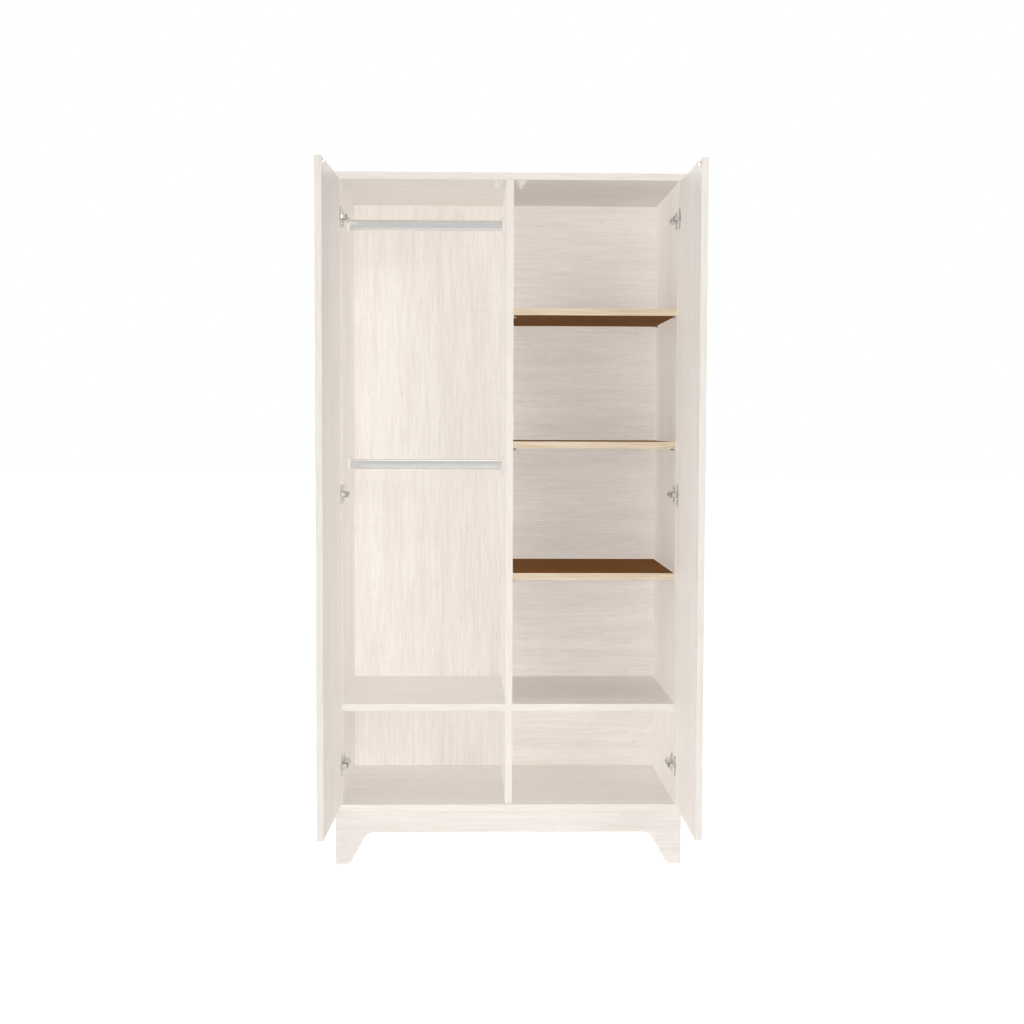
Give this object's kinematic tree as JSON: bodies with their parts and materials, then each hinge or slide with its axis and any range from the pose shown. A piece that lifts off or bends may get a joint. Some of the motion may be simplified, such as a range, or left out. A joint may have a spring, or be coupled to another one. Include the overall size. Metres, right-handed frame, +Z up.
{
  "type": "two-door wardrobe",
  "caption": "Pale board wardrobe on a footed plinth, with open hinged doors, hanging rails, oak shelves, low cubbies and push latches.",
  "frame": {"origin": "on the floor, on the centre line of the carcass's width and at the middle of the whole depth with the doors standing open", "axes": "+Z up, +X to the right seen from the front, +Y towards the wall"},
  "size_m": [0.9144, 1.0066, 1.785],
  "materials": {
    "whitewashed_board": "matt melamine board with a whitewashed wood grain",
    "whitewashed_door": "matt melamine board with an upright whitewashed wood grain",
    "back_board": "thin printed fibreboard, matt",
    "oak_shelf": "satin oak-grain board",
    "chrome_rail": "bright chrome plate",
    "nickel_steel": "nickel-plated pressed steel",
    "white_plastic": "moulded white plastic"
  },
  "bodies": {
    "carcass": {"top_board": "whitewashed_board", "bottom_board": "whitewashed_board", "upper_divider": "whitewashed_board", "lower_divider": "whitewashed_board", "fixed_shelf": "whitewashed_board", "side_panel_left": "whitewashed_board", "side_panel_right": "whitewashed_board", "plinth_front": "whitewashed_board", "plinth_rear": "whitewashed_board", "plinth_side_left": "whitewashed_board", "plinth_side_right": "whitewashed_board", "back_panel_left": "back_board", "push_latch_left": "white_plastic", "hinge_arm_left_top": "nickel_steel", "hinge_arm_left_middle": "nickel_steel", "hinge_arm_left_bottom": "nickel_steel", "back_panel_right": "back_board", "push_latch_right": "white_plastic", "hinge_arm_right_top": "nickel_steel", "hinge_arm_right_middle": "nickel_steel", "hinge_arm_right_bottom": "nickel_steel", "shelf_upper": "oak_shelf", "shelf_upper_pin_inner_front": "nickel_steel", "shelf_upper_pin_inner_rear": "nickel_steel", "shelf_upper_pin_outer_front": "nickel_steel", "shelf_upper_pin_outer_rear": "nickel_steel", "shelf_middle": "oak_shelf", "shelf_middle_pin_inner_front": "nickel_steel", "shelf_middle_pin_inner_rear": "nickel_steel", "shelf_middle_pin_outer_front": "nickel_steel", "shelf_middle_pin_outer_rear": "nickel_steel", "shelf_lower": "oak_shelf", "shelf_lower_pin_inner_front": "nickel_steel", "shelf_lower_pin_inner_rear": "nickel_steel", "shelf_lower_pin_outer_front": "nickel_steel", "shelf_lower_pin_outer_rear": "nickel_steel", "hanging_rail_upper": "chrome_rail", "rail_bracket_upper_outer": "white_plastic", "rail_bracket_upper_inner": "white_plastic", "hanging_rail_lower": "chrome_rail", "rail_bracket_lower_outer": "white_plastic", "rail_bracket_lower_inner": "white_plastic"},
    "left_door": {"door_left": "whitewashed_door", "hinge_cup_left_top": "nickel_steel", "hinge_cup_left_middle": "nickel_steel", "hinge_cup_left_bottom": "nickel_steel", "strike_plate_left": "nickel_steel"},
    "left_hinge_links": {"hinge_link_left_top": "nickel_steel", "hinge_link_left_middle": "nickel_steel", "hinge_link_left_bottom": "nickel_steel"},
    "left_latch_plunger": {"latch_plunger_left": "white_plastic"},
    "right_door": {"door_right": "whitewashed_door", "hinge_cup_right_top": "nickel_steel", "hinge_cup_right_middle": "nickel_steel", "hinge_cup_right_bottom": "nickel_steel", "strike_plate_right": "nickel_steel"},
    "right_hinge_links": {"hinge_link_right_top": "nickel_steel", "hinge_link_right_middle": "nickel_steel", "hinge_link_right_bottom": "nickel_steel"},
    "right_latch_plunger": {"latch_plunger_right": "white_plastic"}
  },
  "joints": [
    {"name": "left_door_hinge", "type": "hinge", "parent": "carcass", "child": "left_door", "pos_m": [-0.4435, -0.06125, 0.964], "axis": [0, 0, 1], "range_deg": [-18, 92]},
    {"name": "left_hinge_link_turn", "type": "hinge", "parent": "carcass", "child": "left_hinge_links", "pos_m": [-0.4435, -0.06125, 0.964], "axis": [0, 0, 1], "range_deg": [-13.06, 66.34]},
    {"name": "left_latch_push", "type": "slide", "parent": "carcass", "child": "left_latch_plunger", "axis": [0, 1, 0], "range_m": [-0.00279, 0.01405]},
    {"name": "right_door_hinge", "type": "hinge", "parent": "carcass", "child": "right_door", "pos_m": [0.4435, -0.06125, 0.964], "axis": [0, 0, 1], "range_deg": [-90, 20]},
    {"name": "right_hinge_link_turn", "type": "hinge", "parent": "carcass", "child": "right_hinge_links", "pos_m": [0.4435, -0.06125, 0.964], "axis": [0, 0, 1], "range_deg": [-64.9, 14.5]},
    {"name": "right_latch_push", "type": "slide", "parent": "carcass", "child": "right_latch_plunger", "axis": [0, 1, 0], "range_m": [-0.00316, 0.01405]}
  ],
  "couplings": [
    {"joint": "left_hinge_link_turn", "follows": "left_door_hinge", "ratio": 0.72},
    {"joint": "left_latch_push", "follows": "left_door_hinge", "m_per_rad": 0.008719},
    {"joint": "right_hinge_link_turn", "follows": "right_door_hinge", "ratio": 0.72},
    {"joint": "right_latch_push", "follows": "right_door_hinge", "m_per_rad": -0.008913}
  ]
}
